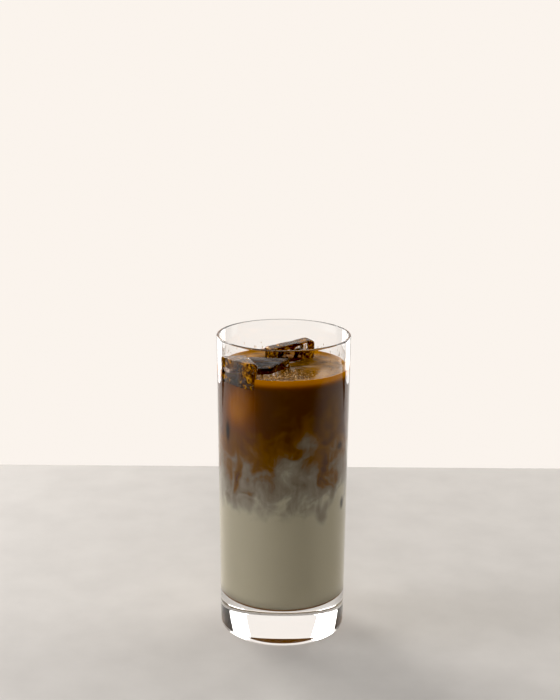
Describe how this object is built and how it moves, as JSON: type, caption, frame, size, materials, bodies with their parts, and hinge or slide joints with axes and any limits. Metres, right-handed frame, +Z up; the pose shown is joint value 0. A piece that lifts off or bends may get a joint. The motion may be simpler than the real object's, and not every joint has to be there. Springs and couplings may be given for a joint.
{
  "type": "iced latte in a tall glass",
  "caption": "Tall straight tumbler with a thick clear base, holding cold milk that turns marbled into dark coffee, with clear ice standing out of the top",
  "frame": {"origin": "centre of the foot, on the surface the glass stands on", "axes": "+Z up along the glass; the view shown looks along +Y with +X to the right"},
  "size_m": [0.064, 0.064, 0.1474],
  "materials": {
    "clear_glass": "smooth clear soda-lime glass",
    "milk": "opaque cold milk, lightly tinted by coffee",
    "milky_coffee": "milk and coffee mixing in wisps",
    "coffee": "dark coffee with a thin amber edge",
    "ice": "clear melting ice with a few bubbles"
  },
  "bodies": {
    "root": {"glass": "clear_glass", "milk": "milk", "marbled_layer": "milky_coffee", "coffee": "coffee", "ice_front": "ice", "ice_middle": "ice", "ice_back": "ice"}
  },
  "joints": []
}
